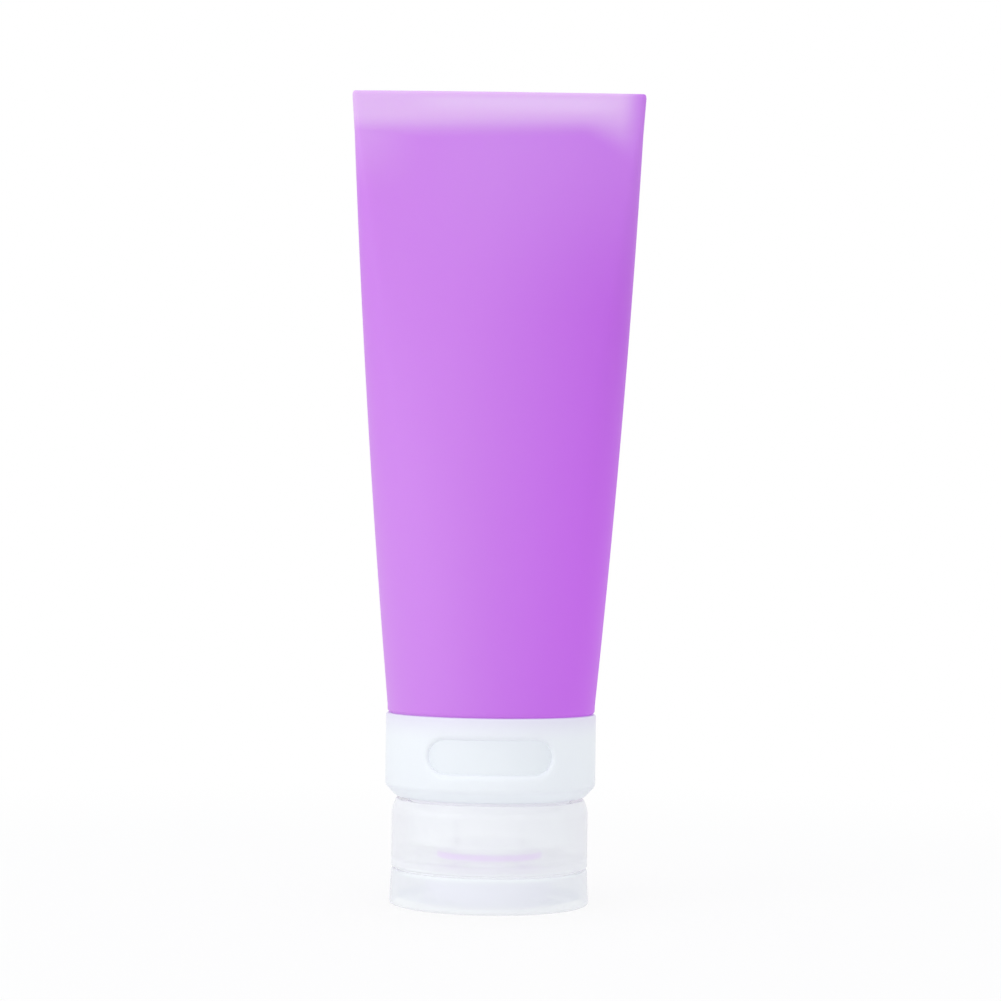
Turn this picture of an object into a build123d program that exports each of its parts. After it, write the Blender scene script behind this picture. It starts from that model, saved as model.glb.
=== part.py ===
"""Soft squeeze tube for travel, standing on its flip-top cap.

The tube is moulded in silicone: round at the neck, flat and wide at the sealed end. A rigid threaded
insert lines the neck. A collar snaps over the insert, and a ring that tells the contents turns behind the
collar's window. The screw cap carries a slit valve, its retainer, a film hinge and the flip lid.

Frame: millimetres, +Z up, origin at the centre of the lid's standing face, hinge towards +Y, window
towards -Y.
"""

import os
from math import cos, pi, sin

from build123d import *

# Overall sizes
TOTAL_HEIGHT = 155.0
SEAM_WIDTH = 56.6
COLLAR_DIAMETER = 40.0
OVERRUN = 2.0
RUN_CLEARANCE = 0.3
EDGE_SHARE = 0.6

# Flip lid
LID_HEIGHT = 6.7
LID_FLARE = 0.3
LID_EDGE_RADIUS = 0.7
LID_PLATE = 1.4
LID_WALL = 1.3
RIM_WIDTH = 5.15
DISH_DEPTH = 0.4
SEAL_RING_SETBACK = 1.4
SEAL_RING_WALL = 1.2
PLUG_WALL = 0.9
PLUG_LEAD = 0.4

# Screw cap
CAP_SETBACK = 1.35
CAP_HEIGHT = 12.9
CAP_WALL = 1.4
DECK = 1.8
CAP_CHAMFER_HEIGHT = 2.0
GROOVE_DEPTH = 0.75
LIP_HEIGHT = 1.4
LIP_WALL = 1.1
NOZZLE_BORE = 8.4
NOZZLE_WALL = 1.8
NOZZLE_HEIGHT = 2.7
NOZZLE_EDGE_RADIUS = 0.6
BARREL_LEDGE = 0.4
BARREL_WALL = 1.3
STEP_DROP = 0.5
THREAD_SPACE = 1.0
SPIGOT_WALL = 1.3
SPIGOT_LENGTH = 10.2
SPIGOT_LEAD = 0.6
RIB_COUNT = 8
RIB_WALL = 1.0
RIB_DROP = 3.0

# Slit valve and its retainer
VALVE_DIAMETER = 19.8
VALVE_FLANGE = 1.3
VALVE_DOME_DEPTH = 1.2
VALVE_SKIN = 0.8
SLIT_LENGTH = 4.4
SLIT_WIDTH = 0.25
RETAINER_HEIGHT = 1.5
RETAINER_WIDTH = 3.2
SEAT_CLEARANCE = 0.2
SEAT_WALL = 1.2

# Film hinge between the cap and the lid
HINGE_FLAT_DEPTH = 0.55
HINGE_WIDTH = 8.0
HINGE_PAD = 0.5
HINGE_FILM = 0.3
HINGE_REACH = 2.3
HINGE_FILM_HEIGHT = 0.9

# Neck: gasket, threaded insert, collar and contents ring
GASKET = 1.0
COLLAR_GAP = 0.4
COLLAR_HEIGHT = 15.8
COLLAR_WALL = 1.5
COLLAR_FLOOR = 2.0
COLLAR_CHAMFER_HEIGHT = 2.2
COLLAR_EDGE_RADIUS = 0.5
INSERT_WALL = 1.2
INSERT_FLANGE = 1.4
INSERT_TOP_DROP = 0.5
CONTENTS_RING_WALL = 0.9
NECK_WALL = 1.8
WINDOW_WIDTH = 23.8
WINDOW_HEIGHT = 7.4
WINDOW_DROP = 7.3

# Silicone tube
TUBE_FOOT_SETBACK = 0.25
TUBE_FOOT_HEIGHT = 1.5
TUBE_FOOT_RADIUS = 0.8
TUBE_WALL = 1.7
FIN_HEIGHT = 8.0
FIN_ROOT = 4.4
FIN_EDGE = 3.4
SIDE_BULGE = 0.625
FACE_BULGE = 2.1
SECTION_COUNT = 5
CAVITY_END_SHARE = 0.955

# Heights that the pieces share, from the standing face up
deck_face = LID_HEIGHT + RUN_CLEARANCE
deck_inner = deck_face + DECK
cap_top = deck_face + CAP_HEIGHT
step_top = cap_top - STEP_DROP
gasket_top = step_top + GASKET
collar_bottom = cap_top + COLLAR_GAP
floor_top = collar_bottom + COLLAR_FLOOR
flange_top = floor_top + INSERT_FLANGE
insert_bottom = gasket_top + RUN_CLEARANCE
hinge_height = LID_HEIGHT + RUN_CLEARANCE / 2
collar_top = collar_bottom + COLLAR_HEIGHT
window_centre = collar_top - WINDOW_DROP
tube_start = collar_top + TUBE_FOOT_HEIGHT
fin_start = TOTAL_HEIGHT - FIN_HEIGHT

# Radii that the pieces share, from the outside in
collar_radius = COLLAR_DIAMETER / 2
collar_bore = collar_radius - COLLAR_WALL
contents_outer = collar_bore - RUN_CLEARANCE
contents_inner = contents_outer - CONTENTS_RING_WALL
neck_outer = contents_inner - RUN_CLEARANCE
insert_outer = neck_outer - NECK_WALL
insert_inner = insert_outer - INSERT_WALL
spigot_radius = insert_inner - THREAD_SPACE
barrel_radius = insert_outer + BARREL_LEDGE
foot_radius = collar_radius - TUBE_FOOT_SETBACK
cap_radius = collar_radius - CAP_SETBACK
groove_radius = cap_radius - GROOVE_DEPTH
hinge_flat = cap_radius - HINGE_FLAT_DEPTH
lid_foot_radius = cap_radius + LID_FLARE
dish_radius = cap_radius - RIM_WIDTH
nozzle_radius = NOZZLE_BORE / 2
valve_radius = VALVE_DIAMETER / 2
seat_radius = valve_radius + SEAT_CLEARANCE


def turned(*outline):
    """A solid of revolution about Z, from (radius, height) points."""
    return revolve(make_face(Plane.XZ * Polyline(*outline, close=True)), Axis.Z)


def ring(outer, inner, bottom, top):
    """A plain ring between two radii and two heights."""
    return turned((inner, bottom), (outer, bottom), (outer, top), (inner, top))


def disc(radius, bottom, top):
    """A plain round disc between two heights."""
    return Pos(0, 0, bottom) * extrude(Circle(radius), top - bottom)


def rims(solid, radius, height):
    """The circular edges of a turned solid that have this radius at this height."""
    found = solid.edges().filter_by(GeomType.CIRCLE).filter_by_position(Axis.Z, height, height)
    return [edge for edge in found if abs(edge.radius - radius) < RUN_CLEARANCE / 2]


def rounded(solid, radius, height, edge, wall):
    """The solid with its rim at this radius and height rounded, as far as the wall there allows."""
    return fillet(rims(solid, radius, height), min(edge, wall * EDGE_SHARE))


def behind_hinge_flat(bottom, top):
    """The slice that is cut off the back of the lid and the cap, so that the film hinge lies on a flat."""
    depth = collar_radius
    centre = Pos(0, hinge_flat + depth / 2, (bottom + top) / 2)
    return centre * Box(COLLAR_DIAMETER, depth, top - bottom)


def flip_lid():
    """Shallow cap with an outer skirt, a seal ring and the plug that closes the nozzle."""
    skirt_inner = cap_radius - LID_WALL
    shell = turned(
        (0, 0),
        (lid_foot_radius, 0),
        (cap_radius, LID_HEIGHT),
        (skirt_inner, LID_HEIGHT),
        (skirt_inner, LID_PLATE),
        (0, LID_PLATE),
    )
    shell = rounded(shell, lid_foot_radius, 0, LID_EDGE_RADIUS, LID_WALL)
    seal_outer = dish_radius - SEAL_RING_SETBACK
    seal = ring(seal_outer, seal_outer - SEAL_RING_WALL, 0, LID_HEIGHT)
    plug_outer = nozzle_radius - RUN_CLEARANCE
    plug_inner = plug_outer - PLUG_WALL
    plug = turned(
        (plug_inner, 0),
        (plug_outer, 0),
        (plug_outer, LID_HEIGHT - PLUG_LEAD),
        (plug_outer - PLUG_LEAD, LID_HEIGHT),
        (plug_inner, LID_HEIGHT),
    )
    dish = disc(dish_radius, -OVERRUN, DISH_DEPTH)
    lid = shell + seal + plug - dish
    return lid - behind_hinge_flat(-OVERRUN, LID_HEIGHT + OVERRUN)


def cap_base():
    """Screw cap: skirt, deck with nozzle, stepped barrel, threaded spigot, ribs and valve seat."""
    skirt_inner = cap_radius - CAP_WALL
    shell = turned(
        (nozzle_radius, deck_face),
        (cap_radius, deck_face),
        (cap_radius, cap_top - CAP_CHAMFER_HEIGHT),
        (groove_radius, cap_top),
        (skirt_inner, cap_top),
        (skirt_inner, deck_inner),
        (nozzle_radius, deck_inner),
    )
    lip_outer = cap_radius - LID_WALL - RUN_CLEARANCE
    lip = ring(lip_outer, lip_outer - LIP_WALL, deck_face - LIP_HEIGHT, deck_inner)
    nozzle_outer = nozzle_radius + NOZZLE_WALL
    nozzle_end = deck_face - NOZZLE_HEIGHT
    nozzle = ring(nozzle_outer, nozzle_radius, nozzle_end, deck_inner)
    nozzle = rounded(nozzle, nozzle_outer, nozzle_end, NOZZLE_EDGE_RADIUS, NOZZLE_WALL)
    spigot_inner = spigot_radius - SPIGOT_WALL
    spigot_top = step_top + SPIGOT_LENGTH
    barrel = turned(
        (barrel_radius - BARREL_WALL, deck_face),
        (barrel_radius, deck_face),
        (barrel_radius, step_top),
        (spigot_radius, step_top),
        (spigot_radius, spigot_top - SPIGOT_LEAD),
        (spigot_radius - SPIGOT_LEAD, spigot_top),
        (spigot_inner, spigot_top),
        (spigot_inner, step_top - BARREL_WALL),
        (barrel_radius - BARREL_WALL, step_top - BARREL_WALL),
    )
    seat_top = deck_inner + VALVE_FLANGE + RETAINER_HEIGHT
    seat = ring(seat_radius + SEAT_WALL, seat_radius, deck_face, seat_top)
    rib_reach = skirt_inner - barrel_radius + CAP_WALL
    rib_height = cap_top - RIB_DROP - deck_face
    rib_centre = barrel_radius - CAP_WALL / 2 + rib_reach / 2
    rib = Pos(rib_centre, 0, deck_face + rib_height / 2) * Box(rib_reach, RIB_WALL, rib_height)
    ribs = [Rot(0, 0, (turn + 1 / 2) * 360 / RIB_COUNT) * rib for turn in range(RIB_COUNT)]
    cap = shell + lip + nozzle + barrel + seat + ribs
    hinge_end = hinge_height + HINGE_REACH + RUN_CLEARANCE
    return cap - behind_hinge_flat(deck_face - OVERRUN, hinge_end)


def valve_disc():
    """Silicone slit valve: a flat flange and a shallow dome that hangs in the nozzle, slit crosswise."""
    dome_radius = nozzle_radius - RUN_CLEARANCE
    dome_bottom = deck_inner - VALVE_DOME_DEPTH
    flange_top_face = deck_inner + VALVE_FLANGE
    valve = turned(
        (0, dome_bottom),
        (dome_radius - VALVE_SKIN, dome_bottom),
        (dome_radius, dome_bottom + VALVE_SKIN),
        (dome_radius, deck_inner),
        (valve_radius, deck_inner),
        (valve_radius, flange_top_face),
        (dome_radius, flange_top_face),
        (dome_radius - VALVE_SKIN, dome_bottom + VALVE_SKIN),
        (0, dome_bottom + VALVE_SKIN),
    )
    slit = Pos(0, 0, dome_bottom) * Box(SLIT_LENGTH, SLIT_WIDTH, OVERRUN)
    return valve - slit - Rot(0, 0, 90) * slit


def valve_retainer():
    """Ring that presses the valve's flange onto the deck."""
    bottom = deck_inner + VALVE_FLANGE
    return ring(seat_radius, seat_radius - RETAINER_WIDTH, bottom, bottom + RETAINER_HEIGHT)


def living_hinge():
    """Film hinge: two pads on the back flats, thinned across the parting line so that it bends there."""
    low = hinge_height - HINGE_REACH
    high = hinge_height + HINGE_REACH
    film_low = hinge_height - HINGE_FILM_HEIGHT / 2
    film_high = hinge_height + HINGE_FILM_HEIGHT / 2
    pad_face = hinge_flat + HINGE_PAD
    film_face = hinge_flat + HINGE_FILM
    outline = Polyline(
        (hinge_flat, low),
        (pad_face, low),
        (pad_face, film_low - HINGE_FILM),
        (film_face, film_low),
        (film_face, film_high),
        (pad_face, film_high + HINGE_FILM),
        (pad_face, high),
        (hinge_flat, high),
        close=True,
    )
    return extrude(make_face(Plane.YZ * outline), HINGE_WIDTH / 2, both=True)


def neck_gasket():
    """Flat silicone washer between the cap's step and the insert."""
    return ring(insert_outer, spigot_radius + RUN_CLEARANCE, step_top, gasket_top)


def neck_insert():
    """Rigid lining of the neck, with the flange that carries the tube's neck and the contents ring."""
    return turned(
        (insert_inner, insert_bottom),
        (insert_outer, insert_bottom),
        (insert_outer, floor_top),
        (collar_bore, floor_top),
        (collar_bore, flange_top),
        (insert_outer, flange_top),
        (insert_outer, collar_top - INSERT_TOP_DROP),
        (insert_inner, collar_top - INSERT_TOP_DROP),
    )


def collar():
    """Outer ring with a chamfered foot, an inner floor and the oblong window."""
    floor_bore = insert_outer + RUN_CLEARANCE
    shell = turned(
        (floor_bore, collar_bottom),
        (groove_radius, collar_bottom),
        (collar_radius, collar_bottom + COLLAR_CHAMFER_HEIGHT),
        (collar_radius, collar_top),
        (collar_bore, collar_top),
        (collar_bore, floor_top),
        (floor_bore, floor_top),
    )
    shell = rounded(shell, collar_radius, collar_top, COLLAR_EDGE_RADIUS, COLLAR_WALL)
    window = extrude(
        Plane((0, 0, window_centre), (1, 0, 0), (0, -1, 0)) * SlotOverall(WINDOW_WIDTH, WINDOW_HEIGHT),
        collar_radius + OVERRUN,
    )
    return shell - window


def contents_ring():
    """Thin ring behind the window. It turns between the flange and the tube's foot."""
    bottom = flange_top + RUN_CLEARANCE
    return ring(contents_outer, contents_inner, bottom, collar_top - RUN_CLEARANCE)


def tube_section(share, inset):
    """The tube's closed outline at a share of the way from its foot to the fin, set in by a wall."""
    bulge = 4 * share * (1 - share)
    fin_rise = (fin_start - tube_start) / (TOTAL_HEIGHT - tube_start)
    fin_root_reach = foot_radius + (SEAM_WIDTH / 2 - foot_radius) * fin_rise
    half_width = foot_radius * (1 - share) + fin_root_reach * share + SIDE_BULGE * bulge
    half_depth = foot_radius * (1 - share) + FIN_ROOT / 2 * share + FACE_BULGE * bulge
    height = tube_start + (fin_start - tube_start) * share
    return oval(half_width - inset, half_depth - inset, height)


def oval(half_width, half_depth, height):
    """A closed outline of four tangent arcs: a circle where both sizes are alike, else a flat oval."""
    side_turn = pi / 2 - pi / 4 * half_depth / half_width
    centre_span = (half_width - half_depth) / (sin(side_turn) + cos(side_turn) - 1)
    side_radius = half_width - centre_span * cos(side_turn)
    join_x = half_width - side_radius + side_radius * cos(side_turn)
    join_y = side_radius * sin(side_turn)
    right = ThreePointArc((join_x, -join_y), (half_width, 0), (join_x, join_y))
    back = ThreePointArc((join_x, join_y), (0, half_depth), (-join_x, join_y))
    left = ThreePointArc((-join_x, join_y), (-half_width, 0), (-join_x, -join_y))
    front = ThreePointArc((-join_x, -join_y), (0, -half_depth), (join_x, -join_y))
    return Pos(0, 0, height) * make_face([right, back, left, front])


def squeeze_tube():
    """Silicone tube: neck, rounded foot, body that flattens towards the sealed fin, and the cavity."""
    foot = turned(
        (insert_outer, flange_top),
        (neck_outer, flange_top),
        (neck_outer, collar_top),
        (foot_radius, collar_top),
        (foot_radius, tube_start),
        (insert_outer, tube_start),
    )
    foot = rounded(foot, foot_radius, collar_top, TUBE_FOOT_RADIUS, TUBE_FOOT_HEIGHT)
    shares = [n / (SECTION_COUNT - 1) for n in range(SECTION_COUNT)]
    body = loft([tube_section(share, 0) for share in shares])
    fin = loft([tube_section(1, 0), oval(SEAM_WIDTH / 2, FIN_EDGE / 2, TOTAL_HEIGHT)])
    cavity = loft([tube_section(share * CAVITY_END_SHARE, TUBE_WALL) for share in shares])
    bore = disc(insert_outer, flange_top - OVERRUN, tube_start + OVERRUN)
    print("cavity of the tube:", round(cavity.volume / 1000, 1), "ml")
    return foot + body + fin - cavity - bore


def main():
    pieces = {
        "flip_lid": flip_lid(),
        "cap_base": cap_base(),
        "valve_disc": valve_disc(),
        "valve_retainer": valve_retainer(),
        "living_hinge": living_hinge(),
        "neck_gasket": neck_gasket(),
        "neck_insert": neck_insert(),
        "collar": collar(),
        "contents_ring": contents_ring(),
        "squeeze_tube": squeeze_tube(),
    }
    os.makedirs("parts", exist_ok=True)
    for name, solid in pieces.items():
        export_step(solid, f"parts/{name}.step")


main()
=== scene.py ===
"""Looks of the soft travel tube on its flip-top cap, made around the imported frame.

Everything is in metres in the frame's own axes: +Z up, the collar's window towards -Y and the lid's
hinge towards +Y. Each moulding is a skin that a node tree wraps round a list of stations.
"""

import math

import bmesh
import bpy
from mathutils import Matrix, Vector


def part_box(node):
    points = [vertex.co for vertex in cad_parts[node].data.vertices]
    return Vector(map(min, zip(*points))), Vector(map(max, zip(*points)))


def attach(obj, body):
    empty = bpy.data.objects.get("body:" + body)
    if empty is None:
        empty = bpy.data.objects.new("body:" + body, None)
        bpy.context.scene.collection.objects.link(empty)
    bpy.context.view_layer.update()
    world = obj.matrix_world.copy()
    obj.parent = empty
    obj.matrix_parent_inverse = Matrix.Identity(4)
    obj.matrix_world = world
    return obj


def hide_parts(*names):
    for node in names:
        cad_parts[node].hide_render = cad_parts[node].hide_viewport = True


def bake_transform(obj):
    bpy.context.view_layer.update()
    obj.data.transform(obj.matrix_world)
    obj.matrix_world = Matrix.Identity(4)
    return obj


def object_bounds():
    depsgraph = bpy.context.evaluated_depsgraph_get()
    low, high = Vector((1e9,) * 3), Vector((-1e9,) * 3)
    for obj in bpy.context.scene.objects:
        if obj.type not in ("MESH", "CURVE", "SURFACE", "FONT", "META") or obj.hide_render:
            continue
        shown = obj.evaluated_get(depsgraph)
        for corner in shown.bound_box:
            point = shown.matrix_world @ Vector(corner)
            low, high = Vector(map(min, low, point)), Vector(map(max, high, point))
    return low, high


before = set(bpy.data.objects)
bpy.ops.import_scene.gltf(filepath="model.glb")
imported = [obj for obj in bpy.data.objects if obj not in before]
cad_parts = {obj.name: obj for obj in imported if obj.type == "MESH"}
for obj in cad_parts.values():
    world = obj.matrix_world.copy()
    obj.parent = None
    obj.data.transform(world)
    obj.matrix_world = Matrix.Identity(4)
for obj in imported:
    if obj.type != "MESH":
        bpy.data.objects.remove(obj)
cad_low, cad_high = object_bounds()


def colour(red, green, blue):
    """A colour given as it looks on screen, from 0 to 255, as the renderer's linear values."""
    curve_toe, toe_slope, offset, power = 0.04045, 12.92, 0.055, 2.4
    linear = []
    for share in (red / 255, green / 255, blue / 255):
        if share <= curve_toe:
            linear.append(share / toe_slope)
        else:
            linear.append(((share + offset) / (1 + offset)) ** power)
    return (*linear, 1)


# Boxes that the frame gives
_, tube_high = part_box("squeeze_tube")
collar_low, collar_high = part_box("collar")
ring_low, ring_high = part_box("contents_ring")
insert_low, insert_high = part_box("neck_insert")
gasket_low, gasket_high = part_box("neck_gasket")
cap_low, cap_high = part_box("cap_base")
_, lid_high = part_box("flip_lid")
valve_low, valve_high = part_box("valve_disc")
retainer_low, retainer_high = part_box("valve_retainer")
hinge_low, hinge_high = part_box("living_hinge")

# Fineness of the meshes, and what all pieces share
AROUND = 160
CORNER_STEPS = 5
CORNER_REACH_SHARE = 0.45
ROUND_STEPS = 2 * CORNER_STEPS
LEAST_SIZE = 0.0001
FINE_EDGE = 0.00018
CLEARANCE = 0.0003
CUT_OVERRUN = 0.002
MERGE_DISTANCE = 0.000002
SMOOTH_ANGLE = math.radians(38)

# Silicone tube
TUBE_WALL = 0.0017
NECK_WALL = 0.0018
FOOT_HEIGHT = 0.0015
FOOT_RADIUS = 0.0008
FIN_HEIGHT = 0.008
FIN_ROOT = 0.0044
FIN_EDGE = 0.0034
FIN_EDGE_RADIUS = 0.0009
FIN_CORNER_SHARE = 0.35
FIN_END_SHARE = 0.5
SIDE_BULGE = 0.00125
FACE_BULGE = 0.0021
CAVITY_END_SHARE = 0.955
BODY_STATIONS = 90
FIN_STATIONS = 16

# Collar
COLLAR_WALL = 0.0015
COLLAR_FLOOR = 0.002
COLLAR_CHAMFER = 0.0022
COLLAR_EDGE = 0.0005
COLLAR_FOOT_EDGE = 0.0007
COLLAR_SHOULDER_EDGE = 0.0006
WINDOW_WIDTH = 0.0238
WINDOW_HEIGHT = 0.0074
WINDOW_CENTRE = 0.0288
WINDOW_FLARE = 0.0011
FLARE_STEPS = 6
WINDOW_STEPS = 16

# Contents ring. The station that shows at rest is blank.
STATION_COUNT = 6
NUMERAL_HEIGHT = 0.0042
NUMERAL_TYPE_SHARE = 1.4
NUMERAL_RELIEF = 0.00016
NUMERAL_CURVE_STEPS = 6

# Neck insert and its flange
INSERT_WALL = 0.0012
INSERT_FLANGE = 0.0014

# Screw cap
CAP_WALL = 0.0014
DECK = 0.0018
CAP_CHAMFER = 0.002
CAP_EDGE = 0.0005
CAP_SHOULDER_EDGE = 0.0008
GROOVE_RADIUS = 0.0179
LIP_HEIGHT = 0.0014
LIP_WALL = 0.0011
NOZZLE_BORE_RADIUS = 0.0042
NOZZLE_WALL = 0.0018
NOZZLE_EDGE = 0.0006
BARREL_RADIUS = 0.0156
BARREL_WALL = 0.0013
SPIGOT_RADIUS = 0.013
SPIGOT_WALL = 0.0013
SPIGOT_LEAD = 0.0006
SEAT_CLEARANCE = 0.0002
SEAT_WALL = 0.0012
STEP_DROP = 0.0005
RIB_COUNT = 8
RIB_START_SHARE = 0.5
RIB_WALL = 0.001
RIB_DROP = 0.003

# Flip lid
LID_WALL = 0.0013
LID_PLATE = 0.0014
LID_FLARE = 0.0003
LID_EDGE = 0.0007
LID_RIM_EDGE = 0.0005
DISH_RADIUS = 0.0135
DISH_DEPTH = 0.0004
SEAL_RADIUS = 0.0121
SEAL_WALL = 0.0012
PLUG_WALL = 0.0009
PLUG_LEAD = 0.0004

# Valve and its retainer
VALVE_SKIN = 0.0008
VALVE_EDGE = 0.0003
VALVE_DOME_EDGE = 0.0004
RETAINER_WIDTH = 0.0032
SLIT_LENGTH = 0.0044
SLIT_WIDTH = 0.00025

# Film hinge
HINGE_FILM = 0.0003
HINGE_FILM_HEIGHT = 0.0009
HINGE_ROWS = 40

# Threads
PITCH = 0.003
THREAD_TURNS = 2.5
THREAD_ROOT = 0.0015
THREAD_CREST = 0.0007
THREAD_DEPTH = 0.0007
THREAD_SUNK = 0.0002
THREAD_STEPS = 72
THREAD_RUN_OUT = 0.2

# Plain white, for blooms, the floor's glow and the surround
WHITE = (1, 1, 1, 1)

# Patterns, as the scale and detail of a noise, and how much they show
NOISE_MIDDLE = 0.5
TUBE_CLOUD = (28.0, 3.0)
TUBE_DRIFT = (9.0, 2.0)
TUBE_GRAIN = (2600.0, 2.0)
GRAIN_STRENGTH = 0.12
BLOOM_CLOUD = (160.0, 2.0)
BLOOM_STRENGTH = 0.3
MILK_CLOUD = (60.0, 3.0)
MILK_CLOUD_TONE = colour(250, 251, 253)
MILK_CLOUD_STRENGTH = 0.25
MILK_DRIFT = 0.06
FLOW_STRETCH = (40.0, 40.0, 900.0)
FLOW_NOISE = (1.0, 3.0)
FLOW_STRENGTH = 0.05
BUMP_HEIGHT = 0.00005

# Silicone. A roughness is its least value and how much the clouds add.
SILICONE_IOR = 1.41
TUBE_ROUGHNESS = (0.46, 0.08)
TUBE_MILK = 0.2
TUBE_MILK_REACH = (0.9, 0.5, 1.0)
TUBE_MILK_DEPTH = 0.002
SMALL_ROUGHNESS = (0.4, 0.1)
VALVE_TONE = colour(206, 70, 246)
VALVE_DENSITY = 0.95
WASHER_TONE = colour(246, 248, 252)
WASHER_DENSITY = 0.9

# The tube's tones, and between which heights and which sides they change. A side is a share of the
# half width: -1 at the edge towards -X and 1 at the edge towards +X.
# The pale tone towards -X is painted light and the deep tones towards +X are painted shade; the
# clouds also mix towards the pale tone.
BODY_TONE = colour(203, 124, 232)
BODY_LIT_AND_CLOUD_PALE = colour(213, 142, 239)
BODY_SHADED_DEEP = colour(204, 99, 242)
BODY_SHADED_DEEP_HIGH = colour(192, 98, 228)
BODY_HAZE = colour(206, 148, 233)
SHADED_SIDE = (-0.35, 1.0)
LIT_SIDE = (0.1, -1.0)
RISE_SPAN = (0.05, 0.125)
PAINTED_LIGHT_LOSS = 0.65
HAZE_SPAN = (0.108, 0.146)
HAZE_STRENGTH = 0.4
CLOUD_STRENGTH = 0.1

# The pale sealed band, partly the solid seal's paler silicone and partly painted light: its lower
# edge, how that slants and drops towards +X, its blur and its fade
SEAL_PALE_AND_LIT_TONE = colour(228, 189, 241)
SEAL_PALE_AND_LIT_STRENGTH = 0.9
SEAL_LINE = 0.1483
SEAL_SLANT = 0.0009
SEAL_DROP = 0.001
SEAL_DROP_SIDE = (0.55, 1.0)
SEAL_HARD = 0.0028
SEAL_SOFT = 0.006
SEAL_DRIFT = 0.002
SEAL_FADE = 0.95
SEAL_FADE_SIDE = (0.8, 1.0)

# The band's faint tail of painted light down the edge towards -X, and a painted highlight across
# the band
LIT_TAIL_SPAN = (0.133, 0.1483)
LIT_TAIL_SIDE = (-0.45, -1.0)
LIT_TAIL_STRENGTH = 0.38
PAINTED_HIGHLIGHT_TONE = colour(234, 206, 247)
PAINTED_HIGHLIGHT_STRENGTH = 0.45
HIGHLIGHT_LOW = (0.1503, 0.1528)
HIGHLIGHT_HIGH = (0.1545, 0.153)
HIGHLIGHT_MIDDLE = 0.0035
HIGHLIGHT_ENDS = (0.0228, 0.0123)

# Frosted plastic. A density is 0 where it is clear and 1 where nothing shows through.
PLASTIC_IOR = 1.45
PLASTIC_ROUGHNESS_DRIFT = 0.08
EDGE_BLEND = 0.0001
LEVEL_BLEND = 0.0005
SCATTERED_ON = 0.95
COLLAR_TONE = colour(242, 247, 250)
COLLAR_FOOT_TONE = colour(247, 253, 255)
COLLAR_ROUGHNESS = 0.36
COLLAR_DENSITY = 0.93
# Painted light: the tube's lilac shining through the collar near its top, put into the collar's
# colour
PAINTED_LILAC_TONE = colour(232, 228, 245)
PAINTED_LILAC_DEPTH = 0.005
PAINTED_LILAC_OVERRUN = 0.002
RING_TONE = colour(239, 245, 248)
NUMERAL_TONE = colour(170, 176, 196)
NUMERAL_ROUGHNESS = 0.4
CAP_TONE = colour(250, 253, 254)
CAP_ROUGHNESS = 0.3
CAP_SKIN_DENSITY = 0.67
CAP_CORE_DENSITY = 0.04
DECK_DENSITY = 0.8
BARREL_DENSITY = 0.45
RETAINER_DENSITY = 0.85
LID_TONE = colour(245, 250, 252)
LID_ROUGHNESS = 0.22
LID_SKIN_DENSITY = 0.6
LID_CORE_DENSITY = 0.05
# The plate's darker, bluer tone is painted shade.
PLATE_SHADE_TONE = colour(224, 231, 243)
PLATE_FACE_DENSITY = 0.3
SEAL_RING_TONE = colour(242, 240, 252)
SEAL_RING_DENSITY = 0.7

# Stage and light
FLOOR_REACH = 3.0
FLOOR_TONE = (0.9, 0.9, 0.9, 1)
FLOOR_GLOW = 0.85
SHADOW_CORE = 0.1
SHADOW_REACH = 0.3
WORLD_LIGHT = 0.92
SKY_TONE = (0.965, 0.978, 1.0, 1)
LAMP_AIM = (0, 0, 0.08)
KEY_PLACE = (-0.8, -0.55, 0.4)
KEY_SIZE = (0.5, 0.6)
KEY_POWER = 1.2
TOP_PLACE = (-0.1, -0.2, 0.8)
TOP_SIZE = (0.5, 0.4)
TOP_POWER = 0.6
LAYERS_SEEN_THROUGH = 24

# Camera
EYE_DISTANCE = 0.49
EYE_HEIGHT = 0.063
AIM_HEIGHT = 0.07665
VIEW_SIDE = 0.00124
LENS = 92.2
SENSOR = 36.0
ROLL = math.radians(0.78)

# Heights and radii worked out from the frame's boxes
collar_top = collar_high.z
collar_radius = collar_high.x
collar_bore = collar_radius - COLLAR_WALL
floor_top = collar_low.z + COLLAR_FLOOR
flange_top = floor_top + INSERT_FLANGE
insert_inner = gasket_high.x - INSERT_WALL
insert_outer = gasket_high.x
tube_foot = collar_top + FOOT_HEIGHT
tube_foot_radius = tube_high.y
neck_inner = insert_outer
neck_outer = neck_inner + NECK_WALL
fin_start = tube_high.z - FIN_HEIGHT
cap_radius = cap_high.x
cap_top = gasket_low.z + STEP_DROP
deck_face = lid_high.z + CLEARANCE
deck_inner = deck_face + DECK
step_top = gasket_low.z
hinge_height = (hinge_low.z + hinge_high.z) / 2
hinge_flat = hinge_low.y
thread_low = step_top + PITCH / 2
under_all = cad_low.z - CUT_OVERRUN
over_all = cad_high.z

# The sockets of a Mix node that hold its share, its two colours and their mix
MIX_SHARE, MIX_FIRST, MIX_SECOND, MIX_RESULT = 0, 6, 7, 2


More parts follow.
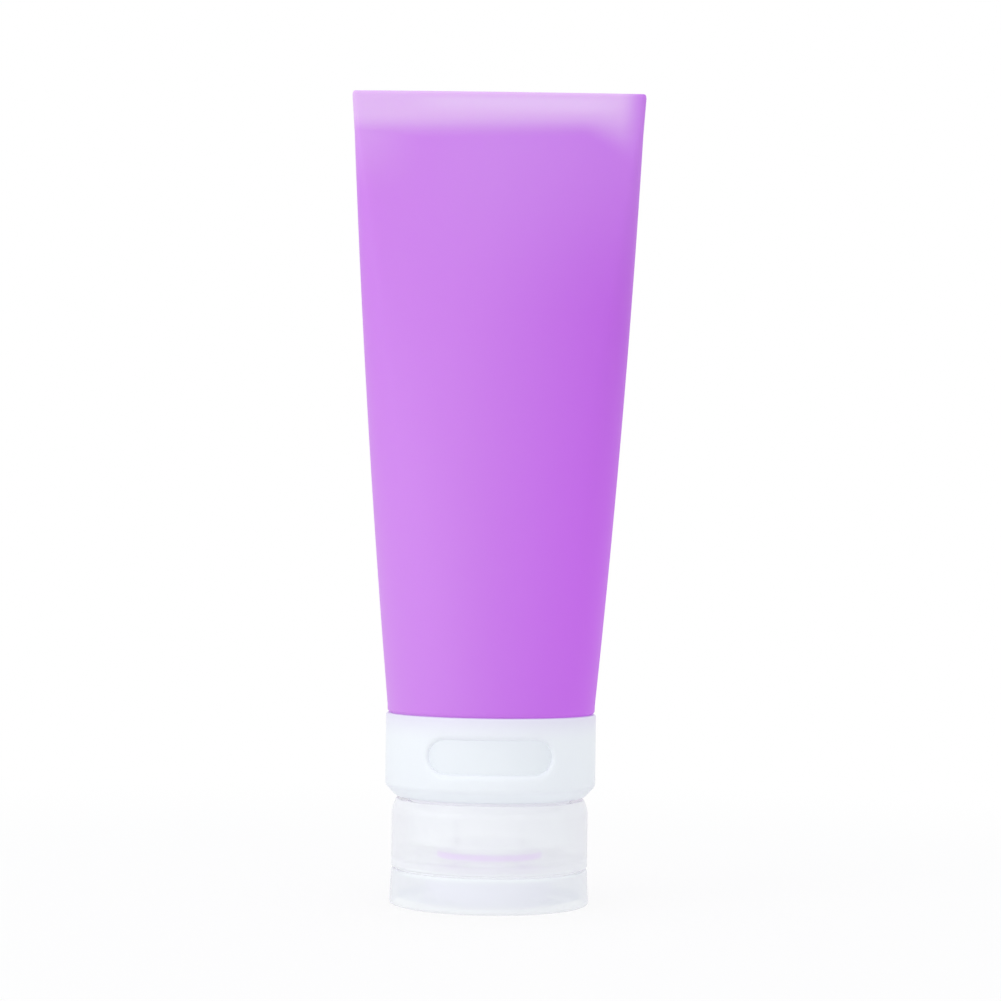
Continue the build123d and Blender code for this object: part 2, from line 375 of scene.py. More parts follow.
class Graph:
    """A shader or geometry tree whose nodes all come from one method."""

    def __init__(self, tree):
        self.tree = tree

    def add(self, kind, settings=None, inputs=None):
        """A node of this kind. Its settings are set first, then its sockets, by name or number."""
        made = self.tree.nodes.new(kind)
        for name, value in (settings or {}).items():
            setattr(made, name, value)
        for key, value in (inputs or {}).items():
            if isinstance(value, Wire):
                self.tree.links.new(value.socket, made.inputs[key])
            else:
                made.inputs[key].default_value = value
        return made

    def wire(self, kind, settings=None, inputs=None, output=0):
        """The output of a new node, ready for arithmetic."""
        return Wire(self, self.add(kind, settings, inputs).outputs[output])

    def maths(self, operation, *values):
        """A Math node on values, each a wire or a number."""
        return self.wire("ShaderNodeMath", {"operation": operation}, dict(enumerate(values)))

    def between(self, value, low, high):
        """How far a value is from low to high, from 0 to 1 and eased at both ends."""
        return self.wire(
            "ShaderNodeMapRange",
            {"interpolation_type": "SMOOTHSTEP"},
            {"Value": value, "From Min": low, "From Max": high},
        )

    def parts(self, vector):
        """The X, Y and Z of a vector."""
        split = self.add("ShaderNodeSeparateXYZ", None, {0: vector})
        return [Wire(self, socket) for socket in split.outputs]

    def mix(self, share, first, second):
        """A colour between two, by a share."""
        colours = {MIX_SHARE: share, MIX_FIRST: first, MIX_SECOND: second}
        return self.wire("ShaderNodeMix", {"data_type": "RGBA"}, colours, output=MIX_RESULT)


class Wire:
    """A node's output that Python arithmetic can be written with."""

    def __init__(self, graph, socket):
        self.graph = graph
        self.socket = socket

    def __add__(self, other):
        return self.graph.maths("ADD", self, other)

    def __sub__(self, other):
        return self.graph.maths("SUBTRACT", self, other)

    def __mul__(self, other):
        return self.graph.maths("MULTIPLY", self, other)

    def __truediv__(self, other):
        return self.graph.maths("DIVIDE", self, other)

    def __radd__(self, other):
        return self.graph.maths("ADD", other, self)

    def __rsub__(self, other):
        return self.graph.maths("SUBTRACT", other, self)

    def __rmul__(self, other):
        return self.graph.maths("MULTIPLY", other, self)


def geometry_tree(name, sizes):
    """An empty geometry tree with a mesh input, named inputs for its sizes, and a mesh output."""
    tree = bpy.data.node_groups.new(name, "GeometryNodeTree")
    tree.interface.new_socket("Profile", in_out="INPUT", socket_type="NodeSocketGeometry")
    for label, value in sizes.items():
        kind = "NodeSocketInt" if isinstance(value, int) else "NodeSocketFloat"
        tree.interface.new_socket(label, in_out="INPUT", socket_type=kind).default_value = value
    tree.interface.new_socket("Finish", in_out="INPUT", socket_type="NodeSocketMaterial")
    tree.interface.new_socket("Skin", in_out="OUTPUT", socket_type="NodeSocketGeometry")
    graph = Graph(tree)
    given = graph.add("NodeGroupInput")
    inputs = {socket.name: Wire(graph, socket) for socket in given.outputs if socket.name}
    return graph, inputs


def woven(graph, inputs, columns):
    """A grid with a row for each point of the profile.

    It gives the grid, each vertex's column, and the three sizes of its row. Half a step keeps the
    division from rounding down to the column before.
    """
    profile = inputs["Profile"]
    rows = graph.wire("GeometryNodeAttributeDomainSize", {"component": "MESH"}, {0: profile})
    grid = graph.wire(
        "GeometryNodeMeshGrid", None, {"Vertices X": columns + 1, "Vertices Y": rows}
    )
    index = graph.wire("GeometryNodeInputIndex")
    half_step = 0.5
    column = graph.maths("FLOOR", (index + half_step) / rows)
    row = index - column * rows
    position = graph.wire("GeometryNodeInputPosition")
    sampled = graph.wire(
        "GeometryNodeSampleIndex",
        {"data_type": "FLOAT_VECTOR", "domain": "POINT"},
        {"Geometry": profile, "Value": position, "Index": row},
    )
    return grid, column, graph.parts(sampled)


def end_tree(graph, inputs, grid, x, y, z):
    """Moves the grid's points into place, closes its seams and poles, and gives it its finish."""
    place = graph.wire("ShaderNodeCombineXYZ", None, {0: x, 1: y, 2: z})
    placed = graph.wire("GeometryNodeSetPosition", None, {"Geometry": grid, "Position": place})
    merged = graph.wire(
        "GeometryNodeMergeByDistance", None, {"Geometry": placed, "Distance": MERGE_DISTANCE}
    )
    whole = graph.wire("GeometryNodeRealizeInstances", None, {0: merged})
    finished = graph.wire(
        "GeometryNodeSetMaterial", None, {"Geometry": whole, "Material": inputs["Finish"]}
    )
    graph.add("NodeGroupOutput", None, {0: finished})


def oval_tree():
    """Wraps ovals of four tangent arcs round stations of (half width, half depth, height)."""
    graph, inputs = geometry_tree("oval_skin", {"Around": AROUND, "Least Size": LEAST_SIZE})
    grid, column, (given_width, given_depth, height) = woven(graph, inputs, inputs["Around"])
    width = graph.maths("MAXIMUM", given_width, inputs["Least Size"])
    depth = graph.maths("MAXIMUM", given_depth, inputs["Least Size"])
    turn = column / inputs["Around"] * (2 * math.pi)
    across = graph.maths("COSINE", turn)
    along = graph.maths("SINE", turn)
    quarter = graph.maths(
        "ARCTAN2", graph.maths("ABSOLUTE", along), graph.maths("ABSOLUTE", across)
    ) / (math.pi / 4)
    side_turn = math.pi / 2 - depth / width * (math.pi / 4)
    side_sine = graph.maths("SINE", side_turn)
    side_cosine = graph.maths("COSINE", side_turn)
    span = (width - depth) / (side_sine + side_cosine - 1)
    side_radius = width - span * side_cosine
    face_radius = depth + span * side_sine
    on_face = graph.maths("GREATER_THAN", quarter, 1)
    first_part = graph.maths("MINIMUM", quarter, 1)
    second_part = graph.maths("MAXIMUM", quarter - 1, 0)
    heading = side_turn * first_part + (math.pi / 2 - side_turn) * second_part
    radius = side_radius + (face_radius - side_radius) * on_face
    out = (width - side_radius) * (1 - on_face) + radius * graph.maths("COSINE", heading)
    back = (depth - face_radius) * on_face + radius * graph.maths("SINE", heading)
    x = out * graph.maths("SIGN", across) * (given_width / width)
    y = back * graph.maths("SIGN", along) * (given_depth / depth)
    end_tree(graph, inputs, grid, x, y, height)
    return graph.tree


def thread_tree():
    """Winds a profile of (reach, 0, rise) up a helix, and lets it run out at both ends."""
    sizes = {
        "Turns": THREAD_TURNS,
        "Pitch": PITCH,
        "Base Radius": SPIGOT_RADIUS,
        "Outward": 1.0,
        "Start Height": thread_low,
        "Run Out": THREAD_RUN_OUT,
    }
    graph, inputs = geometry_tree("thread_ridge", sizes)
    columns = inputs["Turns"] * THREAD_STEPS
    grid, column, (reach, _, rise) = woven(graph, inputs, columns)
    turns = column / THREAD_STEPS
    left = graph.maths("MINIMUM", turns, inputs["Turns"] - turns)
    fullness = graph.maths("MINIMUM", left / inputs["Run Out"], 1)
    radius = inputs["Base Radius"] + inputs["Outward"] * reach * fullness
    x = radius * graph.maths("COSINE", turns * (2 * math.pi))
    y = radius * graph.maths("SINE", turns * (2 * math.pi))
    z = inputs["Start Height"] + turns * inputs["Pitch"] + rise * fullness
    end_tree(graph, inputs, grid, x, y, z)
    return graph.tree


def polyline(name, points):
    """An object of one chain of points, which a tree reads as its profile."""
    mesh = bpy.data.meshes.new(name)
    mesh.from_pydata(points, [(n, n + 1) for n in range(len(points) - 1)], [])
    made = bpy.data.objects.new(name, mesh)
    bpy.context.scene.collection.objects.link(made)
    return made


def settle(piece):
    """Turns a piece and its modifiers into a plain mesh with outward faces and smooth shading."""
    bpy.context.view_layer.update()
    evaluated = piece.evaluated_get(bpy.context.evaluated_depsgraph_get())
    mesh = bpy.data.meshes.new_from_object(evaluated)
    piece.modifiers.clear()
    old = piece.data
    piece.data = mesh
    bpy.data.meshes.remove(old)
    mesh.name = piece.name
    shaped = bmesh.new()
    shaped.from_mesh(mesh)
    bmesh.ops.remove_doubles(shaped, verts=shaped.verts, dist=MERGE_DISTANCE)
    bmesh.ops.recalc_face_normals(shaped, faces=shaped.faces)
    shaped.to_mesh(mesh)
    shaped.free()
    mesh.shade_smooth()
    mesh.set_sharp_from_angle(angle=SMOOTH_ANGLE)


def finished(piece, finish):
    """A piece with one finish on all its faces."""
    piece.data.materials.clear()
    piece.data.materials.append(finish)
    for face in piece.data.polygons:
        face.material_index = 0
    return piece


def wrapped(name, tree, points, finish, sizes=None):
    """A piece that a tree makes from a profile, settled into a plain mesh."""
    piece = polyline(name, points)
    modifier = piece.modifiers.new("skin", "NODES")
    modifier.node_group = tree
    given = dict(sizes or {}, Finish=finish)
    for item in tree.interface.items_tree:
        if item.in_out == "INPUT" and item.name in given:
            modifier[item.identifier] = given[item.name]
    settle(piece)
    return finished(piece, finish)


def rounded(outline, edge=FINE_EDGE):
    """A closed outline with rounded corners, each (radius, height) or (radius, height, edge)."""
    corners = [(Vector(corner[:2]), corner[2] if len(corner) > 2 else edge) for corner in outline]
    points = []
    for n, (corner, size) in enumerate(corners):
        before = corners[n - 1][0] - corner
        after = corners[(n + 1) % len(corners)][0] - corner
        shorter = min(before.length, after.length)
        reach = min(size, shorter * CORNER_REACH_SHARE)
        if corner.x < MERGE_DISTANCE or reach <= 0:
            points.append(corner.copy())
            continue
        start = corner + before.normalized() * reach
        end = corner + after.normalized() * reach
        for step in range(CORNER_STEPS + 1):
            share = step / CORNER_STEPS
            points.append(
                start * (1 - share) ** 2 + corner * 2 * share * (1 - share) + end * share**2
            )
    return points


def turned(name, outline, finish, edge=FINE_EDGE):
    """A moulding that is round about Z, from its closed outline."""
    points = [(point.x, point.x, point.y) for point in rounded(outline, edge)]
    if outline[0][0] > 0:
        points.append(points[0])
    return wrapped(name, oval_skin, points, finish)


def band(inner, outer, bottom, top):
    """The outline of a plain ring."""
    return [(inner, bottom), (outer, bottom), (outer, top), (inner, top)]


def cut(piece, cutter, operation="DIFFERENCE"):
    """Cuts a piece by a closed mesh, or joins that mesh to it, and takes the mesh away."""
    modifier = piece.modifiers.new("cut", "BOOLEAN")
    modifier.operation = operation
    modifier.solver = "EXACT"
    modifier.object = cutter
    finish = piece.data.materials[0]
    settle(piece)
    bpy.data.objects.remove(cutter)
    finished(piece, finish)


def block(low, high):
    """A plain box between two corners, to cut with."""
    shaped = bmesh.new()
    bmesh.ops.create_cube(shaped, size=1)
    half = 0.5
    for vert in shaped.verts:
        shares = [part + half for part in vert.co]
        vert.co = [start + share * (end - start) for start, end, share in zip(low, high, shares)]
    return as_object("cutter", shaped)


def as_object(name, shaped):
    """A new object that holds a bmesh."""
    mesh = bpy.data.meshes.new(name)
    bmesh.ops.recalc_face_normals(shaped, faces=shaped.faces)
    shaped.to_mesh(mesh)
    shaped.free()
    made = bpy.data.objects.new(name, mesh)
    bpy.context.scene.collection.objects.link(made)
    return made


def behind_flat(bottom, top):
    """The slice that is cut off behind the hinge's flat."""
    reach = cap_radius
    return block((-reach, hinge_flat, bottom), (reach, hinge_flat + reach, top))


# Finishes


def finish_graph(name):
    """A new material with an empty tree, and the place on the piece that its patterns read."""
    material = bpy.data.materials.new(name)
    material.use_nodes = True
    material.node_tree.nodes.clear()
    graph = Graph(material.node_tree)
    place = graph.wire("ShaderNodeTexCoord", output="Object")
    return material, graph, place


def end_finish(graph, shader):
    """Ends a material's tree with its shader."""
    graph.add("ShaderNodeOutputMaterial", None, {0: shader})


def noise(graph, place, scale, detail):
    """A noise from 0 to 1 that is mostly near NOISE_MIDDLE."""
    return graph.wire(
        "ShaderNodeTexNoise", None, {"Vector": place, "Scale": scale, "Detail": detail}
    )


def bump(graph, pattern, strength):
    """A normal that follows a pattern's ups and downs."""
    return graph.wire(
        "ShaderNodeBump",
        None,
        {"Strength": strength, "Distance": BUMP_HEIGHT, "Height": pattern},
    )


def radius_of(graph, place):
    """How far a point is from the object's own upright axis, and its height."""
    x, y, z = graph.parts(place)
    return graph.maths("SQRT", x * x + y * y), z


def sealed_band(graph, place, side, height):
    """How much of the pale sealed band, partly painted light, lies at a side and height, its tail
    of painted light with it.
    """
    drift = noise(graph, place, *TUBE_DRIFT)
    dropped = graph.between(side, *SEAL_DROP_SIDE)
    line = side * SEAL_SLANT + SEAL_LINE - dropped * SEAL_DROP
    above = height - line + (drift - NOISE_MIDDLE) * SEAL_DRIFT
    start = dropped * -SEAL_SOFT - SEAL_HARD
    full = dropped * SEAL_SOFT / 2 + SEAL_HARD
    tail = graph.between(height, *LIT_TAIL_SPAN) * graph.between(side, *LIT_TAIL_SIDE) * LIT_TAIL_STRENGTH
    sealed = graph.maths("MAXIMUM", graph.between(above, start, full), tail)
    return sealed * (1 - graph.between(side, *SEAL_FADE_SIDE) * SEAL_FADE)


def lilac_silicone():
    """The tube's silicone: satin, milky, painted light paler towards -X, painted shade deeper
    towards +X, and pale where it is sealed, partly painted light.
    """
    material, graph, place = finish_graph("lilac_silicone")
    x, _, z = graph.parts(place)
    cloud = noise(graph, place, *TUBE_CLOUD)
    side = x / tube_high.x
    sealed = sealed_band(graph, place, side, z)
    # A painted highlight across the sealed band.
    from_highlight = graph.maths("ABSOLUTE", x - HIGHLIGHT_MIDDLE)
    painted_highlight = graph.between(z, *HIGHLIGHT_LOW) * graph.between(z, *HIGHLIGHT_HIGH)
    painted_highlight = painted_highlight * graph.between(from_highlight, *HIGHLIGHT_ENDS)
    # Painted light pales the -X side, less so higher up, and painted shade deepens the +X side.
    rise = graph.between(z, *RISE_SPAN)
    deep = graph.between(side, *SHADED_SIDE)
    pale = graph.between(side, *LIT_SIDE) * (1 - rise * PAINTED_LIGHT_LOSS)
    haze = graph.between(z, *HAZE_SPAN) * graph.between(side, *LIT_SIDE[::-1])
    body = graph.mix(deep, BODY_TONE, graph.mix(rise, BODY_SHADED_DEEP, BODY_SHADED_DEEP_HIGH))
    body = graph.mix(pale, body, BODY_LIT_AND_CLOUD_PALE)
    body = graph.mix(haze * HAZE_STRENGTH, body, BODY_HAZE)
    body = graph.mix(cloud * CLOUD_STRENGTH, body, BODY_LIT_AND_CLOUD_PALE)
    # The sealed band's tone is partly the seal's paler silicone and partly painted light.
    skin = graph.mix(sealed * SEAL_PALE_AND_LIT_STRENGTH, body, SEAL_PALE_AND_LIT_TONE)
    skin = graph.mix(painted_highlight * PAINTED_HIGHLIGHT_STRENGTH, skin, PAINTED_HIGHLIGHT_TONE)
    roughness, rougher = TUBE_ROUGHNESS
    shader = graph.wire(
        "ShaderNodeBsdfPrincipled",
        {"subsurface_method": "RANDOM_WALK"},
        {
            "Base Color": skin,
            "Roughness": cloud * rougher + roughness,
            "IOR": SILICONE_IOR,
            "Subsurface Weight": TUBE_MILK,
            "Subsurface Radius": TUBE_MILK_REACH,
            "Subsurface Scale": TUBE_MILK_DEPTH,
            "Normal": bump(graph, noise(graph, place, *TUBE_GRAIN), GRAIN_STRENGTH),
        },
    )
    end_finish(graph, shader)
    return material


def plain_silicone(name, tone, density):
    """A small silicone part: one soft colour with a faint bloom, as dense as it says."""
    material, graph, place = finish_graph(name)
    cloud = noise(graph, place, *BLOOM_CLOUD)
    roughness, rougher = SMALL_ROUGHNESS
    shader = graph.wire(
        "ShaderNodeBsdfPrincipled",
        None,
        {
            "Base Color": graph.mix(cloud * BLOOM_STRENGTH, tone, WHITE),
            "Roughness": cloud * rougher + roughness,
            "IOR": SILICONE_IOR,
            "Alpha": density,
        },
    )
    end_finish(graph, shader)
    return material


def for_light(graph, density, passed):
    """A density for the eye that is lower for the light itself, a share of which is passed on."""
    path = graph.add("ShaderNodeLightPath")
    shadow = Wire(graph, path.outputs["Is Shadow Ray"])
    diffuse = Wire(graph, path.outputs["Is Diffuse Ray"])
    return density * (1 - graph.maths("MAXIMUM", shadow, diffuse) * passed)


def frosted_plastic(name, tone, gloss, skin, core, zones=(), painted_shine=None, passed=SCATTERED_ON):
    """Satin polypropylene: a milky outer skin over clearer inner faces, so that the inside shows.

    The skin is (radius, density) and the core a density. A zone is (radius, low, high, density,
    tone) for what lies within a radius and between two heights. A painted shine is (height, height,
    tone) for painted light of a colour that shines through from behind, which comes in from the
    first height to the second. Such plastic scatters light inwards, so a share of it is passed.
    """
    material, graph, place = finish_graph(name)
    radius, height = radius_of(graph, place)
    cloud = noise(graph, place, *MILK_CLOUD)
    stretched = graph.wire("ShaderNodeMapping", None, {"Vector": place, "Scale": FLOW_STRETCH})
    flow = noise(graph, stretched, *FLOW_NOISE)
    skin_radius, skin_density = skin
    shade = graph.mix(cloud * MILK_CLOUD_STRENGTH, tone, MILK_CLOUD_TONE)
    outside = graph.between(radius, skin_radius - EDGE_BLEND, skin_radius + EDGE_BLEND)
    milk = core + outside * (skin_density - core)
    for zone_radius, low, high, density, zone_tone in zones:
        within = graph.between(radius, zone_radius + EDGE_BLEND, zone_radius - EDGE_BLEND)
        within = within * graph.between(height, low - LEVEL_BLEND, low + LEVEL_BLEND)
        within = within * graph.between(height, high + LEVEL_BLEND, high - LEVEL_BLEND)
        milk = milk + within * (density - milk)
        shade = graph.mix(within, shade, zone_tone)
    # Painted light: a colour shining through from behind, mixed into the tone.
    if painted_shine:
        shine_low, shine_high, shine_tone = painted_shine
        shade = graph.mix(graph.between(height, shine_low, shine_high), shade, shine_tone)
    milk = milk + (cloud - NOISE_MIDDLE) * MILK_DRIFT
    shader = graph.wire(
        "ShaderNodeBsdfPrincipled",
        None,
        {
            "Base Color": shade,
            "Roughness": cloud * PLASTIC_ROUGHNESS_DRIFT + gloss,
            "IOR": PLASTIC_IOR,
            "Alpha": for_light(graph, milk, passed),
            "Normal": bump(graph, flow, FLOW_STRENGTH),
        },
    )
    end_finish(graph, shader)
    return material


def even_plastic(name, tone, gloss, density, passed=SCATTERED_ON):
    """Frosted plastic of one density all through."""
    return frosted_plastic(name, tone, gloss, (0.0, density), density, passed=passed)


def collar_plastic():
    """Milky all through, whiter at its foot, with painted light of the tube's lilac shining through
    near its top.
    """
    outer = collar_radius + CLEARANCE
    return frosted_plastic(
        "collar_plastic",
        COLLAR_TONE,
        COLLAR_ROUGHNESS,
        (collar_bore + CLEARANCE, COLLAR_DENSITY),
        COLLAR_DENSITY,
        [(outer, under_all, floor_top, COLLAR_DENSITY, COLLAR_FOOT_TONE)],
        (collar_top - PAINTED_LILAC_DEPTH, collar_top + PAINTED_LILAC_OVERRUN, PAINTED_LILAC_TONE),
    )


def cap_plastic():
    """Milky at the skirt's face and the deck, thinner round the neck, and nearly clear between."""
    barrel = BARREL_RADIUS + CLEARANCE
    return frosted_plastic(
        "cap_plastic",
        CAP_TONE,
        CAP_ROUGHNESS,
        (cap_radius - CAP_WALL + CLEARANCE, CAP_SKIN_DENSITY),
        CAP_CORE_DENSITY,
        [
            (cap_radius + CLEARANCE, under_all, deck_inner, DECK_DENSITY, CAP_TONE),
            (barrel, retainer_high.z + CLEARANCE, over_all, BARREL_DENSITY, CAP_TONE),
        ],
    )


def lid_plastic():
    """Milky at the skirt and the seal ring, darker and bluer on the plate as painted shade, and
    thin on the standing face.
    """
    inner = cap_radius - LID_WALL + CLEARANCE
    seal = SEAL_RADIUS + CLEARANCE
    return frosted_plastic(
        "lid_plastic",
        LID_TONE,
        LID_ROUGHNESS,
        (inner, LID_SKIN_DENSITY),
        LID_CORE_DENSITY,
        [
            # Painted shade: the plate zone takes a darker, bluer tone.
            (inner, under_all, LID_PLATE + CLEARANCE, LID_SKIN_DENSITY, PLATE_SHADE_TONE),
            (seal, under_all, over_all, SEAL_RING_DENSITY, SEAL_RING_TONE),
            (inner, under_all, LID_PLATE / 2, PLATE_FACE_DENSITY, LID_TONE),
        ],
    )


# Mouldings


def tube_size(height):
    """Half width and half depth of the tube at a height."""
    share = (height - tube_foot) / (fin_start - tube_foot)
    bulge = 4 * share * (1 - share)
    seam_width = 2 * tube_high.x
    foot_width = 2 * tube_foot_radius
    rise = (fin_start - tube_foot) / (tube_high.z - tube_foot)
    root_width = foot_width + (seam_width - foot_width) * rise
    if share <= 1:
        width = foot_width * (1 - share) + root_width * share + SIDE_BULGE * bulge
        depth = foot_width * (1 - share) + FIN_ROOT * share + 2 * FACE_BULGE * bulge
        return width / 2, depth / 2
    past = (height - fin_start) / FIN_HEIGHT
    width = root_width * (1 - past) + seam_width * past
    depth = FIN_ROOT * (1 - past) + FIN_EDGE * past
    return width / 2, depth / 2


def tube_outside():
    """Stations of the tube's outer skin, from the neck's end to the middle of the sealed edge."""
    stations = [(neck_outer, neck_outer, flange_top), (neck_outer, neck_outer, collar_top)]
    for step in range(ROUND_STEPS + 1):
        turn = math.pi / 2 * step / ROUND_STEPS
        radius = tube_foot_radius - FOOT_RADIUS * (1 - math.sin(turn))
        stations.append((radius, radius, collar_top + FOOT_RADIUS * (1 - math.cos(turn))))
    for step in range(BODY_STATIONS + 1):
        height = tube_foot + (fin_start - tube_foot) * step / BODY_STATIONS
        stations.append((*tube_size(height), height))
    rim = tube_high.z - FIN_EDGE_RADIUS
    for step in range(1, FIN_STATIONS + 1):
        height = fin_start + (rim - fin_start) * step / FIN_STATIONS
        stations.append((*tube_size(height), height))
    rim_width, rim_depth = tube_size(rim)
    for step in range(1, ROUND_STEPS + 1):
        turn = math.pi / 2 * step / ROUND_STEPS
        inward = FIN_EDGE_RADIUS * (1 - math.cos(turn))
        height = rim + FIN_EDGE_RADIUS * math.sin(turn)
        stations.append((rim_width - inward * FIN_CORNER_SHARE, rim_depth - inward, height))
    stations.append((rim_width - FIN_EDGE_RADIUS * FIN_END_SHARE, 0, tube_high.z))
    return stations


def tube_inside():
    """Stations of the cavity and the neck's bore, from the cavity's end down."""
    stations = []
    cavity_end = tube_foot + (fin_start - tube_foot) * CAVITY_END_SHARE
    end_width, _ = tube_size(cavity_end)
    stations.append((end_width - TUBE_WALL, 0, cavity_end))
    for step in range(BODY_STATIONS + 1):
        height = cavity_end - (cavity_end - tube_foot) * step / BODY_STATIONS
        width, depth = tube_size(height)
        stations.append((width - TUBE_WALL, depth - TUBE_WALL, height))
    stations.append((neck_inner, neck_inner, tube_foot))
    stations.append((neck_inner, neck_inner, flange_top))
    return stations


def make_tube(finish):
    """The squeeze tube, as one closed skin over its outside and its cavity."""
    tube = wrapped("tube_skin", oval_skin, tube_inside() + tube_outside(), finish)
    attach(tube, "bottle")
    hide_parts("squeeze_tube")


def slot_columns(width, height):
    """Stations across an oblong with round ends, as (x, half height), from right to left."""
    radius = height / 2
    reach = width / 2 - radius
    turns = [math.pi / 2 * step / WINDOW_STEPS for step in range(WINDOW_STEPS + 1)]
    right = [(reach + radius * math.cos(turn), radius * math.sin(turn)) for turn in turns]
    run = [(reach * (1 - 2 * step / WINDOW_STEPS), radius) for step in range(1, WINDOW_STEPS)]
    return right + run + [(-x, half) for x, half in right[::-1]]


def window_cutter():
    """An oblong plug, bent to the collar's curve, whose mouth widens in a quarter round."""
    levels = [(collar_bore - CUT_OVERRUN, 0), (collar_radius - WINDOW_FLARE, 0)]
    for step in range(1, FLARE_STEPS + 1):
        turn = math.pi / 2 * step / FLARE_STEPS
        level = collar_radius - WINDOW_FLARE * (1 - math.sin(turn))
        levels.append((level, 1 - math.cos(turn)))
    levels.append((collar_radius + CUT_OVERRUN, 1))
    shaped = bmesh.new()
    tops, bottoms = [], []
    for level, flare in levels:
        grow = WINDOW_FLARE * (2 * flare - 1)
        top, bottom = [], []
        for x, half in slot_columns(WINDOW_WIDTH + grow, WINDOW_HEIGHT + grow):
            y = -math.sqrt(level**2 - x**2)
            top.append(shaped.verts.new((x, y, WINDOW_CENTRE + half)))
            at_tip = half < MERGE_DISTANCE
            bottom.append(top[-1] if at_tip else shaped.verts.new((x, y, WINDOW_CENTRE - half)))
        tops.append(top)
        bottoms.append(bottom)
    for rows in (tops, bottoms):
        for near, far in zip(rows, rows[1:]):
            for n in range(len(near) - 1):
                shaped.faces.new((near[n], near[n + 1], far[n + 1], far[n]))
    for top, bottom in ((tops[0], bottoms[0]), (tops[-1], bottoms[-1])):
        for n in range(len(top) - 1):
            corners = dict.fromkeys((top[n], top[n + 1], bottom[n + 1], bottom[n]))
            shaped.faces.new(list(corners))
    return as_object("cutter", shaped)


def make_collar(finish):
    """The white collar, with its chamfered foot and the window in front."""
    floor_bore = insert_outer + CLEARANCE
    outline = [
        (floor_bore, collar_low.z),
        (GROOVE_RADIUS, collar_low.z, COLLAR_FOOT_EDGE),
        (collar_radius, collar_low.z + COLLAR_CHAMFER, COLLAR_SHOULDER_EDGE),
        (collar_radius, collar_top, COLLAR_EDGE),
        (collar_bore, collar_top),
        (collar_bore, floor_top),
        (floor_bore, floor_top),
    ]
    collar = turned("collar_shell", outline, finish)
    cut(collar, window_cutter())
    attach(collar, "bottle")
    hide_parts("collar")


def numeral(value, finish):
    """A raised plain numeral on the contents ring, bent to its curve."""
    text = bpy.data.curves.new("numeral", "FONT")
    text.body = str(value)
    text.align_x = "CENTER"
    text.align_y = "CENTER"
    text.size = NUMERAL_HEIGHT * NUMERAL_TYPE_SHARE
    text.extrude = NUMERAL_RELIEF
    text.resolution_u = NUMERAL_CURVE_STEPS
    holder = bpy.data.objects.new("numeral", text)
    bpy.context.scene.collection.objects.link(holder)
    bpy.context.view_layer.update()
    mesh = bpy.data.meshes.new_from_object(
        holder.evaluated_get(bpy.context.evaluated_depsgraph_get())
    )
    bpy.data.objects.remove(holder)
    heading = -math.pi / 2 + 2 * math.pi * value / STATION_COUNT
    for vert in mesh.vertices:
        turn = heading + vert.co.x / ring_high.x
        radius = ring_high.x + vert.co.z
        vert.co = (radius * math.cos(turn), radius * math.sin(turn), WINDOW_CENTRE + vert.co.y)
    piece = bpy.data.objects.new(f"station_numeral_{value}", mesh)
    bpy.context.scene.collection.objects.link(piece)
    mesh.materials.append(finish)
    return piece


def make_contents_ring(finish, ink):
    """The ring behind the window, and a numeral at each station but the first."""
    inner = insert_outer + NECK_WALL + CLEARANCE
    ring = turned("turning_ring", band(inner, ring_high.x, ring_low.z, ring_high.z), finish)
    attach(ring, "indicator")
    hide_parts("contents_ring")
    for value in range(1, STATION_COUNT):
        piece = numeral(value, ink)
        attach(piece, "indicator")


def make_insert(finish):
    """The rigid sleeve in the tube's neck, with the flange that the collar holds."""
    outline = [
        (insert_inner, insert_low.z),
        (insert_outer, insert_low.z),
        (insert_outer, floor_top),
        (collar_bore, floor_top),
        (collar_bore, flange_top),
        (insert_outer, flange_top),
        (insert_outer, insert_high.z),
        (insert_inner, insert_high.z),
    ]
    insert = turned("insert_sleeve", outline, finish)
    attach(insert, "bottle")
    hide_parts("neck_insert")


def make_thread(name, body, base, outward, start, finish):
    """A thread's ridge, sunk a little into the wall that carries it."""
    reach = THREAD_SUNK + THREAD_DEPTH
    profile = [
        (0, 0, -THREAD_ROOT / 2),
        (THREAD_SUNK, 0, -THREAD_ROOT / 2),
        (reach, 0, -THREAD_CREST / 2),
        (reach, 0, THREAD_CREST / 2),
        (THREAD_SUNK, 0, THREAD_ROOT / 2),
        (0, 0, THREAD_ROOT / 2),
        (0, 0, -THREAD_ROOT / 2),
    ]
    sizes = {"Base Radius": base - outward * THREAD_SUNK, "Outward": outward, "Start Height": start}
    thread = wrapped(name, thread_ridge, profile, finish, sizes)
    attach(thread, body)


def make_gasket(finish):
    """The washer between the cap's step and the insert."""
    inner = SPIGOT_RADIUS + CLEARANCE
    gasket = turned(
        "sealing_washer", band(inner, gasket_high.x, gasket_low.z, gasket_high.z), finish
    )
    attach(gasket, "gasket")
    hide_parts("neck_gasket")


